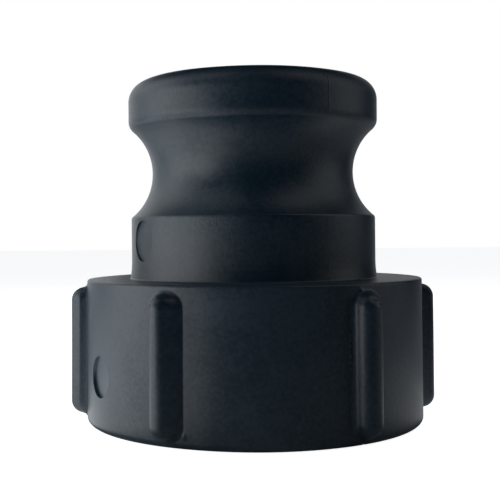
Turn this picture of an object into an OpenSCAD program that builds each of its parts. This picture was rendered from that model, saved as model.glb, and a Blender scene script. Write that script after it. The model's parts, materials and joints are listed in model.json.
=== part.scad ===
/* [Camlock plug] */
// Height of the whole adapter, from the socket's mouth to the plug's end
total_h = 85.1; // [83:0.1:95]
// Diameter of the plug's end ring, which enters the coupler (DN 50)
ring_d = 63; // [62.5:0.1:64]
// Radius that rounds the outer edge of the plug's end
end_round_r = 5; // [2:0.5:6]
// Height of the middle of the cam groove
groove_z = 62.2; // [61:0.1:63]
// Radius of the cam groove's arc
groove_arc_r = 14.2; // [13.5:0.1:14.5]
// Diameter of the groove's floor
groove_floor_d = 50.9; // [50:0.1:54]
// Diameter of the barrel under the groove
barrel_d = 61.8; // [61:0.1:62.4]
// Diameter of the bore that the liquid runs through
flow_d = 44; // [36:0.5:45]

/* [Threaded socket] */
// Height of the socket, from its mouth to the shelf that the plug stands on
socket_h = 35.7; // [35:0.1:40]
// Diameter of the socket's wall at its mouth
mouth_d = 85; // [83:0.5:90]
// Diameter of the socket's wall at its shelf
shelf_d = 84.4; // [83.5:0.1:85]
// Thickness of the floor between the socket and the plug
floor_t = 4.7; // [4:0.1:5.5]
// Major diameter of the coarse buttress thread
thread_major_d = 75; // [74:0.5:76]
// Minor diameter of the thread, over its crests
thread_minor_d = 66; // [65.5:0.5:68]
// Pitch of the thread
thread_pitch = 6; // [5.8:0.1:6]
// Number of thread ridges
thread_turns = 4; // [2:1:4]

/* [Grip ribs] */
// Number of grip ribs round the socket
rib_count = 6; // [4:1:8]
// Radius of a rib, which is half its width
rib_r = 3.7; // [3:0.1:4]
// Diameter over the ribs, near their foot
rib_over_d = 92.8; // [91:0.2:93.6]
// Direction of the first rib, counted from the front
rib_angle = 34; // [0:1:59]

/* [Flat gasket] */
// Outside diameter of the gasket
gasket_od = 65.2; // [60:0.2:65.2]
// Inside diameter of the gasket, and of the opening in the socket's floor
gasket_id = 52; // [50:0.5:54]
// Thickness of the gasket
gasket_t = 4; // [3:0.1:4.2]
// Diameter of the seat round the gasket, in the top of the socket
seat_d = 67.4; // [67:0.1:69]

/* [Mould marks] */
// Diameter of the blank round mould insert marks
mark_d = 9.8; // [6:0.1:11]
// Depth of the mark on the barrel
barrel_mark_depth = 0.5; // [0.3:0.1:0.8]
// Depth of the mark on the socket
socket_mark_depth = 0.8; // [0.3:0.1:1.2]
// Direction of both marks, counted from the front
mark_angle = -59; // [-70:1:-48]

/* [Hidden] */
$fn = 96;

plastic_black = [0.08, 0.085, 0.10];
rubber_black = [0.045, 0.045, 0.045];
overshoot = 1;                            // how far a cutter runs past what it cuts

// Plug section. The groove is one arc, and a small convex arc meets it on each side.
ring_r = ring_d / 2;
barrel_r = barrel_d / 2;
flow_r = flow_d / 2;
arc_centre_r = groove_floor_d / 2 + groove_arc_r;
lip_r = 2;                                // rounds the ring's edge at the groove
crease_r = 1;                             // rounds the barrel's edge at the groove
lip_z = groove_z + arc_rise(ring_r, lip_r);
crease_z = groove_z - arc_rise(barrel_r, crease_r);
foot_flare_r = 0.35;                      // the barrel widens a little at its foot
foot_flare_h = 3;
mouth_chamfer = 1.2;                      // on the bore's edge at the plug's end
taper_top_z = 53;                         // the bore widens from here down to the socket
taper_foot_z = 44;

// Socket section
mouth_r = mouth_d / 2;
shelf_r = shelf_d / 2;
major_r = thread_major_d / 2;
minor_r = thread_minor_d / 2;
opening_r = gasket_id / 2;
seat_r = seat_d / 2;
mouth_round_r = 1.5;
shelf_round_r = 0.6;
floor_z = socket_h - floor_t;
seat_z = floor_z - gasket_t - 0.6;        // the seat is a little deeper than the gasket
lead_in = 1;                              // chamfer at the thread's mouth

// Buttress ridge: a long flank towards the mouth and a steep one towards the floor
crest_w = 0.264 * thread_pitch;
ridge_h = major_r - minor_r;
lead_flank_h = ridge_h * tan(30);
load_flank_h = ridge_h * tan(3);
first_crest_z = lead_in + lead_flank_h;   // where the first crest starts

// A rib is a round bar with ball ends, half sunk in the wall and leaning with its draft
rib_draft = 0.25;
rib_low_z = 5.9;
rib_high_z = 30.3;
rib_low_r = rib_over_d / 2 - rib_r;
rib_high_r = rib_low_r - rib_draft;
rib_reach = norm([rib_high_z - rib_low_z, rib_draft]);
rib_lean = atan(rib_draft / (rib_high_z - rib_low_z));

barrel_mark_z = 45.2;
socket_mark_z = 13.3;

// Height from the groove's middle to the centre of an edge arc of radius r at radius wall_r
function arc_rise(wall_r, r) =
    sqrt(pow(groove_arc_r + r, 2) - pow(arc_centre_r - (wall_r - r), 2));

// Point where the groove's arc meets an edge arc of radius r centred at (wall_r - r, z)
function arc_meet(wall_r, r, z) =
    [arc_centre_r, groove_z]
    + ([wall_r - r, z] - [arc_centre_r, groove_z]) * groove_arc_r / (groove_arc_r + r);

module disc_at(r, place) {
    translate(place) circle(r = r);
}

module plug_section() {
    difference() {
        polygon([
            [opening_r, socket_h], [barrel_r + foot_flare_r, socket_h],
            [barrel_r, socket_h + foot_flare_h], [barrel_r, crease_z],
            arc_meet(barrel_r, crease_r, crease_z), arc_meet(ring_r, lip_r, lip_z),
            [ring_r, lip_z], [ring_r, total_h - end_round_r], [ring_r - end_round_r, total_h],
            [flow_r + mouth_chamfer, total_h], [flow_r, total_h - mouth_chamfer],
            [flow_r, taper_top_z], [opening_r, taper_foot_z]
        ]);
        disc_at(groove_arc_r, [arc_centre_r, groove_z]);
    }
    disc_at(crease_r, [barrel_r - crease_r, crease_z]);
    disc_at(lip_r, [ring_r - lip_r, lip_z]);
    disc_at(end_round_r, [ring_r - end_round_r, total_h - end_round_r]);
}

// One blank round mark, cut from outside wall radius r to a flat floor
module mark_cutter(r, z, depth) {
    rotate([0, 0, mark_angle])
        translate([0, depth - r, z])
            rotate([90, 0, 0])
                cylinder(d = mark_d, h = depth + overshoot);
}

module camlock_plug() {
    color(plastic_black)
        difference() {
            rotate_extrude() plug_section();
            mark_cutter(barrel_r, barrel_mark_z, barrel_mark_depth);
        }
}

// Ridge number i, from its foot nearest the mouth to its foot nearest the floor
function ridge(i) =
    let (z = first_crest_z + i * thread_pitch)
    [
        [major_r, z - lead_flank_h], [minor_r, z],
        [minor_r, z + crest_w], [major_r, z + crest_w + load_flank_h]
    ];

module socket_section() {
    polygon(concat(
        [[major_r + lead_in, 0]],
        [for (i = [0 : thread_turns - 1]) each ridge(i)],
        [
            [major_r, seat_z], [seat_r, seat_z], [seat_r, floor_z],
            [opening_r, floor_z], [opening_r, socket_h],
            [shelf_r - shelf_round_r, socket_h], [shelf_r, socket_h - shelf_round_r],
            [mouth_r, mouth_round_r], [mouth_r - mouth_round_r, 0]
        ]
    ));
    disc_at(mouth_round_r, [mouth_r - mouth_round_r, mouth_round_r]);
    disc_at(shelf_round_r, [shelf_r - shelf_round_r, socket_h - shelf_round_r]);
}

module grip_rib() {
    translate([0, -rib_low_r, rib_low_z])
        rotate([-rib_lean, 0, 0]) {
            sphere(r = rib_r);
            cylinder(r = rib_r, h = rib_reach);
            translate([0, 0, rib_reach]) sphere(r = rib_r);
        }
}

module threaded_socket() {
    color(plastic_black)
        difference() {
            union() {
                rotate_extrude() socket_section();
                for (i = [0 : rib_count - 1])
                    rotate([0, 0, rib_angle + i * 360 / rib_count]) grip_rib();
            }
            mark_cutter(mouth_r, socket_mark_z, socket_mark_depth);
        }
}

module flat_gasket() {
    color(rubber_black)
        rotate_extrude()
            translate([opening_r, floor_z - gasket_t])
                square([gasket_od / 2 - opening_r, gasket_t]);
}

camlock_plug();
threaded_socket();
flat_gasket();
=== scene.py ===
"""Looks for a moulded camlock adapter: detailed pieces, materials, light and camera.

Sections and sizes are in millimetres until a mesh is made. Directions round the axis are in
degrees, counted from the front (-Y) towards the right (+X).
"""

import json
import math

import bpy
import numpy as np
from mathutils import Matrix, Vector


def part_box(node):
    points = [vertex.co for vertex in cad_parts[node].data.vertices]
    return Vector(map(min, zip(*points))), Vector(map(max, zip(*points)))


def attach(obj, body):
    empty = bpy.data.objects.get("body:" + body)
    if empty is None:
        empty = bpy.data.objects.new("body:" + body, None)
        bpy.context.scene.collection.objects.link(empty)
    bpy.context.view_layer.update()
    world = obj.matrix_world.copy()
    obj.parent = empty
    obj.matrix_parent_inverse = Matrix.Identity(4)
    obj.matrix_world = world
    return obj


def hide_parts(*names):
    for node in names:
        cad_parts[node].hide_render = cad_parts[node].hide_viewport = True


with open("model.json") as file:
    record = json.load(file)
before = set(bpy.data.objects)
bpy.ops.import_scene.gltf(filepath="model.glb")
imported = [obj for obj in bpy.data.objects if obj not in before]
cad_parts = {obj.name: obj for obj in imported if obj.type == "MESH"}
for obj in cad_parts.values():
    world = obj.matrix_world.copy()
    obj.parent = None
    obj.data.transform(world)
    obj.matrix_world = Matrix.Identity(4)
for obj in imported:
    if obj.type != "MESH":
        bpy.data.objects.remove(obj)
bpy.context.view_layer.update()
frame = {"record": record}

MM = 0.001

# ---------------------------------------------------------------- sizes taken from the frame

mounts = {m["name"]: m for m in frame["record"]["mounts"]}
END_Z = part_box("camlock_plug")[1].z / MM
SHELF_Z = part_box("threaded_socket")[1].z / MM
GASKET_LOW, GASKET_HIGH = (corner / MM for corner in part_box("flat_gasket"))
RING_R = mounts["coupler_plug"]["dims"]["r_mm"]
CREST_R = mounts["spout_thread"]["dims"]["r_mm"]
FLOOR_Z = GASKET_HIGH.z
MOUTH_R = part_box("threaded_socket")[1].y / MM

# ---------------------------------------------------------------- the moulding's own sizes

GROOVE_Z = 62.2
GROOVE_ARC_R = 14.2
GROOVE_APEX_R = 17.2            # where the groove's two end tangents meet
BARREL_R = 30.93
CREASE_Z = 51.0
LIP_Z = 73.85
FLOW_R = 22.0
OPENING_R = 26.0
SHELF_R = 42.2
SEAT_R = 33.7
SEAT_Z = 26.4
THREAD_ROOT_R = 37.5
THREAD_PITCH = 6.0
THREAD_TURNS = 3.4
THREAD_START_Z = 3.0
THREAD_START = 20.0             # direction in which the thread starts
THREAD_CREST = 1.58             # width of its crest
LEAD_ANGLE = 30                 # its flank towards the mouth, off the level
LOAD_ANGLE = 3                  # its flank towards the floor
THREAD_SUNK = 0.5               # how deep its foot lies in the wall
FADE_IN, FADE_OUT = 50, 60      # degrees over which it rises and dies away

PARTING = 34.0                  # the mould opens across this plane
MARK_ANGLE = -59.0
MARK_R = 4.9
BARREL_MARK = (45.2, BARREL_R, 0.5, 2.0)        # height, wall's radius, depth and tilt
FINE = 0.11                     # spacing of points up a mark

RIB_RISE = 3.97
RIB_LOW_Z = 0.8
RIB_HIGH_Z = 34.8
RIB_REACH = 9                   # no rib's foot lies farther than this from its crest
OUTER_WALL_R = 40.5             # all that lies beyond it is the socket's outer face

AMBIENT = (0.001, 0.012, 0.024)             # what the object sees of the room
COOL_WHITE = (0.98, 0.99, 1.0)
FLOOR_GLOW = 0.93                           # what the camera sees of the floor, beyond its lit colour

CAMERA_PLACE = (0, -0.24158, 0.04636)       # metres
CAMERA_TURNS = (-2.58, 0.863, -0.487)       # yaw, pitch and roll
LENS = (67.8, 36.0, 0.079)                  # focal length, film's width and sideways shift


def facing(angle):
    """The same direction, between -180 and 180."""
    return (np.asarray(angle, float) + 180) % 360 - 180


def smooth(x, low, high):
    """0 below low, 1 above high, and a smooth step between."""
    t = np.clip((x - low) / (high - low), 0, 1)
    return t * t * (3 - 2 * t)


# ---------------------------------------------------------------- turned sections


def fillet(before, corner, after, radius):
    """Points along the round of that radius at a corner, from tangent to tangent."""
    back = (before - corner) / np.linalg.norm(before - corner)
    ahead = (after - corner) / np.linalg.norm(after - corner)
    half = math.acos(np.clip(back @ ahead, -1, 1)) / 2
    centre = corner + (back + ahead) / np.linalg.norm(back + ahead) * radius / math.sin(half)
    start = corner + back * radius / math.tan(half) - centre
    end = corner + ahead * radius / math.tan(half) - centre
    turn = math.pi - 2 * half
    count = max(4, math.ceil(turn * radius / 0.5), math.ceil(turn / 0.25))
    steps = np.linspace(0, 1, count + 1)[:, None]
    swept = np.sin((1 - steps) * turn) * start + np.sin(steps * turn) * end
    return centre + swept / math.sin(turn)


def section(corners):
    """A closed outline of (radius, height) points, outer side going up.

    Each corner is (radius, height, fillet radius, spacing of points up to the next corner).
    """
    places = np.array([c[:2] for c in corners], float)
    runs = []
    for i, (_, _, radius, _) in enumerate(corners):
        before, corner, after = places[i - 1], places[i], places[(i + 1) % len(corners)]
        runs.append(fillet(before, corner, after, radius) if radius else corner[None])
    points = []
    for i, run in enumerate(runs):
        points.append(run)
        start, end = run[-1], runs[(i + 1) % len(runs)][0]
        count = max(1, math.ceil(np.linalg.norm(end - start) / corners[i][3]))
        between = np.linspace(0, 1, count + 1)[1:-1, None]
        points.append(start + between * (end - start))
    return np.concatenate(points)


def outward(points):
    """The outward normal at each point of a section."""
    along = np.roll(points, -1, 0) - np.roll(points, 1, 0)
    along /= np.linalg.norm(along, axis=1, keepdims=True)
    return np.stack([along[:, 1], -along[:, 0]], 1)


def directions(fine, coarse=1.5):
    """Directions round the axis: coarse steps, and a closer set about each (middle, offsets)."""
    found = np.arange(-180, 180, coarse)
    for middle, offsets in fine:
        found = found[abs(facing(found - middle)) > np.abs(offsets).max()]
    for middle, offsets in fine:
        found = np.append(found, facing(middle + offsets))
    found = np.sort(found)
    return found[np.append(True, np.diff(found) > 0.02)]


def even(reach, step):
    """Evenly spaced offsets to both sides of a middle."""
    return np.arange(-reach, reach + step / 2, step)


def grid_faces(rows, columns, closed_rows):
    """Quads of a grid whose columns close on themselves, and whose rows do so if asked."""
    i = np.arange(rows if closed_rows else rows - 1)[:, None]
    j = np.arange(columns)[None]
    i_next, j_next = (i + 1) % rows, (j + 1) % columns
    corners = [i * columns + j, i_next * columns + j, i_next * columns + j_next, i * columns + j_next]
    return np.stack(np.broadcast_arrays(*corners), -1).reshape(-1, 4)


def make_piece(name, places, faces, body, node, material, caps=()):
    """A smooth mesh from points in millimetres, riding on a body in place of a CAD node."""
    mesh = bpy.data.meshes.new(name)
    mesh.from_pydata((places * MM).tolist(), [], faces.tolist() + [list(c) for c in caps])
    mesh.polygons.foreach_set("use_smooth", [True] * len(mesh.polygons))
    mesh.materials.append(material)
    mesh.update()
    mesh.set_sharp_from_angle(angle=math.radians(35))
    piece = bpy.data.objects.new(name, mesh)
    bpy.context.scene.collection.objects.link(piece)
    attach(piece, body)
    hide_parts(node)
    return piece


def turned(points, angles, rise=None):
    """Places of a section turned through the given directions, raised along its normals."""
    r, z = (np.tile(column, (len(angles), 1)) for column in points.T)
    turn = angles[:, None]
    if rise is not None:
        height = rise(turn, r, z)
        normal = outward(points)
        r, z = r + height * normal[:, 0], z + height * normal[:, 1]
    az = np.radians(turn)
    return np.stack([r * np.sin(az), -r * np.cos(az), z], -1).reshape(-1, 3)


# ---------------------------------------------------------------- mould details


def mark_rise(turn, r, z, mark):
    """A flat round recess left by a mould insert, which sat a little askew."""
    mark_z, wall_r, depth, tilt = mark
    off = np.radians(facing(turn - MARK_ANGLE))
    near = np.abs(off) < 0.5
    off = np.where(near, off, 0.5)
    reach = np.hypot(r * np.sin(off), z - mark_z)
    tilt = math.radians(tilt)
    floor = np.minimum((wall_r - depth) * math.cos(tilt) / np.cos(off + tilt) - r, -0.03)
    inside = near * (1 - smooth(reach, MARK_R - 0.10, MARK_R))
    lip = 0.03 * near * np.exp(-(((reach - MARK_R - 0.10) / 0.12) ** 2))
    return inside * floor + lip


def mark_ends(mark):
    """The heights between which a mark and its lip lie."""
    return mark[0] - MARK_R - 0.3, mark[0] + MARK_R + 0.3


def parting_rise(turn, r, z, height):
    """The fine raised line that the mould's joint leaves, uneven along its length."""
    total = 0
    for line in (PARTING, PARTING + 180):
        across = r * np.radians(facing(turn - line))
        uneven = 0.75 + 0.25 * np.sin(z * 1.9 + line) * np.sin(z * 0.7)
        total = total + height * uneven * np.exp(-((across / 0.13) ** 2))
    return total


def sink(turn, z):
    """The slight unevenness of a cooled moulding, always inwards."""
    a = np.radians(turn)
    return 0.02 * (np.sin(3 * a + 0.11 * z) - 1) + 0.012 * (np.sin(7 * a - 0.23 * z + 1) - 1)


# ---------------------------------------------------------------- plug


def plug_section():
    """The plug's outline: foot, barrel, groove and ring, then down the bore."""
    mark_low, mark_high = mark_ends(BARREL_MARK)
    return section([
        (32.0, SHELF_Z - 0.12, 0, 0.3),
        (31.28, SHELF_Z + 0.06, 0.4, 0.4),
        (31.0, SHELF_Z + 2.6, 3, 0.4),
        (BARREL_R, mark_low, 0, FINE),
        (BARREL_R, mark_high, 0, 0.4),
        (BARREL_R, CREASE_Z, 0.9, 0.4),
        (GROOVE_APEX_R, GROOVE_Z, GROOVE_ARC_R, 0.4),
        (RING_R, LIP_Z, 2.8, 0.4),
        (RING_R, END_Z, 5.0, 0.6),
        (FLOW_R, END_Z, 1.0, 2.0),
        (FLOW_R, 53.0, 8.0, 1.5),
        (OPENING_R, 44.0, 8.0, 1.5),
        (OPENING_R, SHELF_Z, 0, 0.5),
        (OPENING_R + 1, SHELF_Z - 0.3, 0, 2.0),
    ])


def plug_rise(turn, r, z):
    """What lies on the plug's outer face: the mould's line, the mark and the unevenness."""
    outside = (r > 25.3) & ((z > 53.5) | (r > 28))
    on_ring = smooth(z, LIP_Z - 0.5, LIP_Z + 2) * (1 - smooth(z, END_Z - 3, END_Z - 1))
    line = parting_rise(turn, r, z, 0.012 * (z < END_Z - 2) + 0.045 * on_ring)
    mark = mark_rise(turn, r, z, BARREL_MARK)
    return outside * (line + np.where(z < CREASE_Z, mark, 0) + sink(turn, z))


def make_camlock_plug(material):
    points = plug_section()
    lines = [(PARTING, even(0.5, 0.1)), (PARTING + 180, even(0.5, 0.1))]
    angles = directions(lines + [(MARK_ANGLE, even(9.8, 0.2))])
    faces = grid_faces(len(angles), len(points), closed_rows=True)
    places = turned(points, angles, plug_rise)
    return make_piece("camlock_plug_moulding", places, faces,
                      "adapter", "camlock_plug", material)


# ---------------------------------------------------------------- socket


def wall_r(z):
    """Radius of the socket's wall at a height."""
    return MOUTH_R + (SHELF_R - MOUTH_R) * z / SHELF_Z


SOCKET_MARK = (13.3, wall_r(13.3), 0.6, 4.0)    # as BARREL_MARK


def flank(corner_r, slope, root_r):
    """One side of a rib: (distances out from its crest, heights), as round, slope and root."""
    slope = math.radians(slope)
    straight = (RIB_RISE - (corner_r + root_r) * (1 - math.cos(slope))) / math.sin(slope)
    turn = np.linspace(0, slope, 9)
    out = corner_r * np.sin(turn)
    drop = corner_r * (1 - np.cos(turn))
    foot_out = out[-1] + straight * math.cos(slope) + root_r * (math.sin(slope) - np.sin(turn[::-1]))
    foot_drop = RIB_RISE - root_r * (1 - np.cos(turn[::-1]))
    return np.append(out, foot_out), RIB_RISE - np.append(drop, foot_drop)


def chamfered_flank(across, drop):
    """A side with a broad chamfer above an upright foot, in the same form."""
    corners = np.array([
        (-2, RIB_RISE),
        (0, RIB_RISE),
        (across, RIB_RISE - drop),
        (across + 0.1, 0),
        (across + 2, 0),
    ])
    rounds = [fillet(*corners[i:i + 3], radius) for i, radius in enumerate((0.8, 0.7, 0.3))]
    points = np.concatenate([[(0, RIB_RISE)]] + rounds)
    points = points[points[:, 0] >= 0]
    return points[:, 0], points[:, 1]


CHAMFERED = chamfered_flank(1.8, 2.0)
STEEP_EASED = flank(2.2, 80, 2.0)
ROUNDED = flank(3.1, 78, 1.5)
EASED = flank(2.2, 64, 2.4)
SHARP = flank(1.2, 84, 0.4)
SLOPED = flank(2.0, 46.5, 0.3)
ROUND_END = flank(3.2, 78, 1.1)

# Each rib's direction: its crest's offset, half of its crest's flat, and its left and right flanks
RIBS = {
    -26: (-1.1, 0.0, STEEP_EASED, SLOPED),
    34: (1.30, 0.12, ROUNDED, EASED),
    94: (-0.6, 0.0, SHARP, SLOPED),
    154: (-1.1, 0.0, STEEP_EASED, SLOPED),
    214: (1.30, 0.12, ROUNDED, EASED),
    -86: (2.4, 0.0, SLOPED, CHAMFERED),
}


def rib_offsets(angle):
    """The directions across a rib, in degrees from its middle, where its section bends."""
    offset, flat, left, right = RIBS[angle]
    bends = np.concatenate([-flat - left[0][::-1], flat + right[0]])
    low, high = bends[0] - 0.8, bends[-1] + 0.8
    between = [x for x in np.arange(low, high + 0.2, 0.25) if np.abs(bends - x).min() > 0.1]
    return np.degrees((offset + np.append(bends, between)) / SHELF_R)


def rib_rise(turn, r, z, angle):
    """Height of one rib above the wall: its flanks, drawn together round both its ends."""
    offset, flat, left, right = RIBS[angle]
    across = r * np.radians(facing(turn - angle)) - offset
    beyond = np.maximum(np.abs(across) - flat, 0)
    end_reach = ROUND_END[0][-1]
    past_end = np.maximum(np.maximum(z - RIB_HIGH_Z, RIB_LOW_Z - z) + end_reach, 0) / end_reach
    rise = 0
    for side, is_here in ((left, across < 0), (right, across >= 0)):
        way = np.hypot(beyond / side[0][-1], past_end)
        share = past_end ** 2 / (way ** 2 + 1e-9)
        height = (1 - share) * np.interp(way * side[0][-1], *side)
        height += share * np.interp(way * end_reach, *ROUND_END)
        rise = rise + np.where(is_here, height, 0)
    return np.where(np.abs(across) < RIB_REACH, rise, 0)


def socket_section():
    """The socket's outline: wall, shelf, floor's opening, gasket seat and the thread's root."""
    mark_low, mark_high = mark_ends(SOCKET_MARK)
    ends_z = RIB_HIGH_Z - 5
    return section([
        (THREAD_ROOT_R + 1, 0, 0.3, 1.5),
        (MOUTH_R, 0, 1.5, 0.22),
        (wall_r(mark_low), mark_low, 0, FINE),
        (wall_r(mark_high), mark_high, 0, 0.45),
        (wall_r(ends_z), ends_z, 0, 0.22),
        (SHELF_R, SHELF_Z, 0.6, 1.5),
        (OPENING_R, SHELF_Z, 0, 1.5),
        (OPENING_R, FLOOR_Z, 0.3, 1.5),
        (SEAT_R, FLOOR_Z, 0.4, 1.5),
        (SEAT_R, SEAT_Z, 0.4, 1.5),
        (THREAD_ROOT_R, SEAT_Z, 0.5, 2.0),
        (THREAD_ROOT_R, 1.0, 0.4, 1.0),
    ])


def bump_at(across, along, width, length):
    """A soft bump, 1 at its middle."""
    return np.exp(-((across / width) ** 2) - (along / length) ** 2)


def moulding_faults(turn, r, z):
    """Small faults about the parting rib, and a torn corner beside another.

    The parting rib has flash down one side, dents and a peak at its top, and a nick below it.
    """
    across = r * np.radians(facing(turn - PARTING))
    along = smooth(z, 17.0, 18.5) * (1 - smooth(z, 24.5, 26.5))
    beads = np.clip(np.sin(z * 5.1) + 0.5 * np.sin(z * 8.7 + 1), 0, 1)
    flash = 0.32 * along * beads * np.exp(-(((across + 3.1) / 0.24) ** 2))
    dent_on_crest = 0.35 * bump_at(across - 0.9, z - 32.4, 0.9, 0.5)
    dent_beside = 0.25 * bump_at(across - 2.2, z - 31.2, 0.8, 0.4)
    dents = dent_on_crest + dent_beside
    peak = 0.30 * bump_at(across + 0.1, z - 34.3, 0.5, 0.35)
    torn = 0.20 * bump_at(r * np.radians(facing(turn + 21)), z - 3.0, 0.5, 0.7)
    nick = 0.18 * bump_at(across - 1.0, z - 0.5, 0.3, 0.5)
    return flash - dents + peak + torn - nick


def socket_rise(turn, r, z):
    """What lies on the socket's outer face: ribs, mark, mould's line and faults."""
    outside = r > OUTER_WALL_R
    rise = sink(turn, z) + parting_rise(turn, r, z, 0.004 * (z > 1)) + moulding_faults(turn, r, z)
    for angle in RIBS:
        rise = rise + rib_rise(turn, r, z, angle)
    return outside * (rise + mark_rise(turn, r, z, SOCKET_MARK))


def make_threaded_socket(material):
    points = socket_section()
    ribs = [(angle, rib_offsets(angle)) for angle in RIBS]
    lines = [
        (PARTING - 4.55, even(0.9, 0.1)),       # the flash beside the parting rib
        (PARTING, even(0.4, 0.1)),
        (PARTING + 180, even(0.4, 0.1)),
    ]
    angles = directions(ribs + lines + [(MARK_ANGLE, even(7.2, 0.15))], coarse=2)
    faces = grid_faces(len(angles), len(points), closed_rows=True)
    places = turned(points, angles, socket_rise)
    return make_piece("threaded_socket_moulding", places, faces,
                      "adapter", "threaded_socket", material)


def thread_section():
    """The buttress ridge: a long flank towards the mouth and a steep one towards the floor."""
    height = THREAD_ROOT_R - CREST_R
    lead, load = (height * math.tan(math.radians(a)) for a in (LEAD_ANGLE, LOAD_ANGLE))
    return section([
        (THREAD_ROOT_R + THREAD_SUNK, -lead - 0.3, 0, 3),
        (THREAD_ROOT_R + THREAD_SUNK, THREAD_CREST + load + 0.3, 0, 1),
        (THREAD_ROOT_R, THREAD_CREST + load, 0.2, 0.8),
        (CREST_R, THREAD_CREST, 0.25, 0.8),
        (CREST_R, 0, 0.35, 0.8),
        (THREAD_ROOT_R, -lead, 0.4, 0.8),
    ])


def make_thread(material):
    """The socket's right-hand internal thread, swept round the wall and faded at its ends."""
    points = thread_section()
    turn = np.arange(0, 360 * THREAD_TURNS + 1, 3.0)[:, None]
    end = 360 * THREAD_TURNS
    fade = smooth(turn, 0, FADE_IN) * (1 - smooth(turn, end - FADE_OUT, end))
    faded_r = THREAD_ROOT_R + 0.05
    r = np.minimum(points[:, 0], THREAD_ROOT_R + THREAD_SUNK + 0 * turn)
    r = np.where(r < THREAD_ROOT_R, faded_r - (faded_r - r) * fade, r)
    z = points[:, 1] + THREAD_START_Z + THREAD_PITCH * turn / 360
    az = np.radians(turn + THREAD_START)
    places = np.stack([r * np.sin(az), -r * np.cos(az), z], -1).reshape(-1, 3)
    faces = grid_faces(len(turn), len(points), closed_rows=False)
    last = len(places) - len(points)
    caps = [range(len(points)), range(len(places) - 1, last - 1, -1)]
    return make_piece("buttress_thread", places, faces,
                      "adapter", "threaded_socket", material, caps)


# ---------------------------------------------------------------- gasket


def make_flat_gasket(material):
    outer, inner = GASKET_HIGH.x, OPENING_R
    low, high = GASKET_LOW.z, GASKET_HIGH.z
    points = section([
        (outer, low, 0.3, 0.8),
        (outer, high, 0.3, 1.2),
        (inner, high, 0.3, 0.8),
        (inner, low, 0.3, 1.2),
    ])
    angles = directions([], coarse=2.5)
    faces = grid_faces(len(angles), len(points), closed_rows=True)
    return make_piece("flat_gasket_ring", turned(points, angles), faces,
                      "gasket", "flat_gasket", material)


# ---------------------------------------------------------------- materials


def new_material(name):
    """An empty node material: (material, its node tree, its Principled shader)."""
    material = bpy.data.materials.new(name)
    material.use_nodes = True
    tree = material.node_tree
    return material, tree, tree.nodes["Principled BSDF"]


def noise(tree, place, scale, detail=3.0, roughness=0.55, distortion=0.0):
    """The value of a noise texture of so many features a metre."""
    node = tree.nodes.new("ShaderNodeTexNoise")
    tree.links.new(place, node.inputs["Vector"])
    node.inputs["Scale"].default_value = scale
    node.inputs["Detail"].default_value = detail
    node.inputs["Roughness"].default_value = roughness
    node.inputs["Distortion"].default_value = distortion
    return node.outputs["Fac"]


def remap(tree, value, low, high, out_low=0.0, out_high=1.0):
    """A value's smooth step from one range onto another."""
    node = tree.nodes.new("ShaderNodeMapRange")
    node.interpolation_type = "SMOOTHSTEP"
    tree.links.new(value, node.inputs["Value"])
    for key, number in zip(("From Min", "From Max", "To Min", "To Max"), (low, high, out_low, out_high)):
        node.inputs[key].default_value = number
    return node.outputs["Result"]


def math_node(tree, operation, a, b):
    """The result of a sum or product, where either side may be a plain number."""
    node = tree.nodes.new("ShaderNodeMath")
    node.operation = operation
    for socket, value in zip(node.inputs, (a, b)):
        if isinstance(value, (int, float)):
            socket.default_value = value
        else:
            tree.links.new(value, socket)
    return node.outputs[0]


def add(tree, a, b):
    return math_node(tree, "ADD", a, b)


def times(tree, a, b):
    return math_node(tree, "MULTIPLY", a, b)


def mix_colour(tree, share, a, b):
    """A blend of two plain colours."""
    node = tree.nodes.new("ShaderNodeMix")
    node.data_type = "RGBA"
    tree.links.new(share, node.inputs["Factor"])
    for key, value in (("A", a), ("B", b)):
        socket = [s for s in node.inputs if s.name == key and s.type == "RGBA"][0]
        socket.default_value = value + (1,)
    return [s for s in node.outputs if s.type == "RGBA"][0]


def bump(tree, height, distance, strength, under=None):
    """A normal from a height, on top of another one if given."""
    node = tree.nodes.new("ShaderNodeBump")
    tree.links.new(height, node.inputs["Height"])
    node.inputs["Distance"].default_value = distance
    node.inputs["Strength"].default_value = strength
    if under is not None:
        tree.links.new(under, node.inputs["Normal"])
    return node.outputs["Normal"]


def object_place(tree):
    """The place on the piece itself, in metres."""
    return tree.nodes.new("ShaderNodeTexCoord").outputs["Object"]


def moulding_material():
    """Black polypropylene: fine grain, faint flow marks and mottle, patches of creased skin."""
    material, tree, shader = new_material("black_polypropylene")
    place = object_place(tree)
    stain = noise(tree, place, 45, 5, 0.6, 0.8)
    speckle = noise(tree, place, 1100, 3, 0.65)
    shade = add(tree, times(tree, stain, 0.5), times(tree, speckle, 0.5))
    share = remap(tree, shade, 0.4, 0.6)
    body = mix_colour(tree, share, (0.0012, 0.0120, 0.0225), (0.0035, 0.0170, 0.0300))
    tree.links.new(body, shader.inputs["Base Color"])
    tree.links.new(remap(tree, shade, 0.35, 0.65, 0.38, 0.48), shader.inputs["Roughness"])
    tree.links.new(remap(tree, shade, 0.35, 0.65, 0.40, 0.58), shader.inputs["Specular IOR Level"])
    grain = bump(tree, noise(tree, place, 2600, 2, 0.6), 0.00004, 0.45)
    peel = bump(tree, noise(tree, place, 480, 3, 0.5), 0.0001, 0.30, grain)
    patches = remap(tree, noise(tree, place, 38, 2), 0.52, 0.66)
    creases = times(tree, noise(tree, place, 620, 4, 0.6, 2.2), patches)
    tree.links.new(bump(tree, creases, 0.0002, 0.5, peel), shader.inputs["Normal"])
    return material


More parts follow.
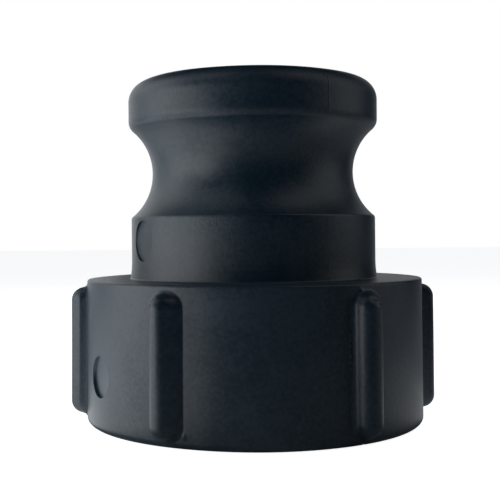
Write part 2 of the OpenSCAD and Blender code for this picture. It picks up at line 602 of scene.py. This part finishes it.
def gasket_material():
    """Smooth black rubber with a dusty bloom."""
    material, tree, shader = new_material("black_rubber")
    place = object_place(tree)
    bloom = remap(tree, noise(tree, place, 120, 5, 0.65), 0.45, 0.75)
    body = mix_colour(tree, bloom, (0.012, 0.012, 0.012), (0.035, 0.034, 0.032))
    tree.links.new(body, shader.inputs["Base Color"])
    tree.links.new(remap(tree, bloom, 0, 1, 0.55, 0.75), shader.inputs["Roughness"])
    tree.links.new(bump(tree, noise(tree, place, 2500, 3), 0.00003, 0.3), shader.inputs["Normal"])
    return material


def floor_material():
    """Pale matt card. It glows towards the camera, and from below it is clear."""
    material, tree, shader = new_material("pale_card")
    fibre = noise(tree, object_place(tree), 300, 3)
    body = mix_colour(tree, fibre, (0.78, 0.79, 0.80), (0.82, 0.82, 0.82))
    tree.links.new(body, shader.inputs["Base Color"])
    shader.inputs["Roughness"].default_value = 0.9
    seen = tree.nodes.new("ShaderNodeLightPath").outputs["Is Camera Ray"]
    tree.links.new(times(tree, seen, FLOOR_GLOW), shader.inputs["Emission Strength"])
    shader.inputs["Emission Color"].default_value = (1, 1, 1, 1)
    clear = tree.nodes.new("ShaderNodeBsdfTransparent")
    either = tree.nodes.new("ShaderNodeMixShader")
    tree.links.new(tree.nodes.new("ShaderNodeNewGeometry").outputs["Backfacing"], either.inputs["Fac"])
    tree.links.new(shader.outputs[0], either.inputs[1])
    tree.links.new(clear.outputs[0], either.inputs[2])
    tree.links.new(either.outputs[0], tree.nodes["Material Output"].inputs["Surface"])
    return material


# ---------------------------------------------------------------- studio


def make_floor(material):
    """A large flat card that the object stands on."""
    half, under = 3.0, -0.00005
    corners = ((-half, -half), (half, -half), (half, half), (-half, half))
    mesh = bpy.data.meshes.new("floor")
    mesh.from_pydata([(x, y, under) for x, y in corners], [], [(0, 1, 2, 3)])
    mesh.materials.append(material)
    floor = bpy.data.objects.new("floor", mesh)
    bpy.context.scene.collection.objects.link(floor)


def make_panel(name, place, turn, size, glow):
    """A soft panel with an even glow, unseen by the camera; places and sizes are in metres."""
    data = bpy.data.lights.new(name, "AREA")
    data.shape = "RECTANGLE"
    data.size, data.size_y = size
    data.energy = glow * math.pi * size[0] * size[1]
    data.color = COOL_WHITE
    panel = bpy.data.objects.new(name, data)
    panel.location = place
    panel.rotation_euler = turn
    panel.visible_camera = False
    bpy.context.scene.collection.objects.link(panel)


def stand_panel(name, angle, distance, size, glow, foot=0.0):
    """An upright panel that faces the axis from a direction round it."""
    turn = math.radians(angle)
    place = (distance * math.sin(turn), -distance * math.cos(turn), foot + size[1] / 2)
    make_panel(name, place, (math.pi / 2, 0, turn), size, glow)


def lay_card(name, angle, near, size, glow):
    """A glowing card on the floor, from a distance outwards in a direction round the axis."""
    turn, middle = math.radians(angle), near + size[1] / 2
    place = (middle * math.sin(turn), -middle * math.cos(turn), 0.0005)
    make_panel(name, place, (math.pi, 0, turn), size, glow)


def hang_panel(name, angle, distance, height, size, glow):
    """A panel above, tipped towards the object."""
    turn = math.radians(angle)
    place = Vector((distance * math.sin(turn), -distance * math.cos(turn), height))
    aim = Vector((0, 0, END_Z * MM / 2)) - place
    make_panel(name, place, aim.to_track_quat("-Z", "Y").to_euler(), size, glow)


def make_lights():
    """Bright low panels on the left, weaker ones behind and on the right, and white cards below.

    The last card lies inside the mouth, and lights nothing but the inside.
    """
    beside, behind, above = 0.42, 0.60, 0.36        # distances from the axis
    high = 0.60
    edge = 0.043                                    # just outside the socket's foot
    stand_panel("left_front", -46, beside, (0.15, 0.16), 1.8)
    stand_panel("left", -74, beside, (0.36, 0.16), 3.1)
    stand_panel("left_back", -106, beside, (0.16, 0.16), 1.1)
    stand_panel("high_left", -98, beside, (0.42, 0.34), 1.65, foot=0.16)
    stand_panel("back_left", -150, behind, (0.40, 0.42), 1.25)
    stand_panel("back_right", 165, behind, (0.40, 0.42), 0.5)
    stand_panel("right_low", 90, beside, (0.26, 0.13), 0.72, foot=0.04)
    stand_panel("high_right", 90, beside, (0.40, 0.30), 0.60, foot=0.17)
    hang_panel("above_left", -54, above, high, (0.34, 0.34), 0.80)
    hang_panel("above_right", 66, above, high, (0.34, 0.34), 0.70)
    lay_card("left_card", -74, 0.10, (0.30, 0.30), 1.3)
    lay_card("near_left_card", -70, edge, (0.12, 0.057), 1.4)
    lay_card("near_right_card", 92, edge, (0.07, 0.057), 0.6)
    lay_card("inside_card", 0, -0.026, (0.052, 0.052), 1.4)


def make_world():
    """A white backdrop that gives the object only a dim, cool, even light."""
    world = bpy.data.worlds.new("studio")
    world.use_nodes = True
    tree = world.node_tree
    lit = tree.nodes["Background"]
    lit.inputs["Color"].default_value = (*AMBIENT, 1)
    seen = tree.nodes.new("ShaderNodeBackground")
    seen.inputs["Color"].default_value = (1, 1, 1, 1)
    either = tree.nodes.new("ShaderNodeMixShader")
    tree.links.new(tree.nodes.new("ShaderNodeLightPath").outputs["Is Camera Ray"], either.inputs["Fac"])
    tree.links.new(lit.outputs[0], either.inputs[1])
    tree.links.new(seen.outputs[0], either.inputs[2])
    tree.links.new(either.outputs[0], tree.nodes["World Output"].inputs["Surface"])
    bpy.context.scene.world = world


def make_camera():
    """The photograph's viewpoint: close, level with the barrel, and turned slightly."""
    data = bpy.data.cameras.new("camera")
    data.lens, data.sensor_width, data.shift_x = LENS
    camera = bpy.data.objects.new("camera", data)
    yaw, pitch, roll = (math.radians(a) for a in CAMERA_TURNS)
    turn = Matrix.Rotation(roll, 3, "Y") @ Matrix.Rotation(pitch, 3, "X") @ Matrix.Rotation(yaw, 3, "Z")
    right, ahead, up = turn
    looking = Matrix((right, up, -ahead)).transposed().to_4x4()
    camera.matrix_world = Matrix.Translation(CAMERA_PLACE) @ looking
    bpy.context.scene.collection.objects.link(camera)
    bpy.context.scene.camera = camera


# ---------------------------------------------------------------- build

plastic = moulding_material()
make_camlock_plug(plastic)
make_threaded_socket(plastic)
make_thread(plastic)
make_flat_gasket(gasket_material())
make_floor(floor_material())
make_lights()
make_world()
make_camera()
bpy.context.scene.view_settings.view_transform = "Standard"
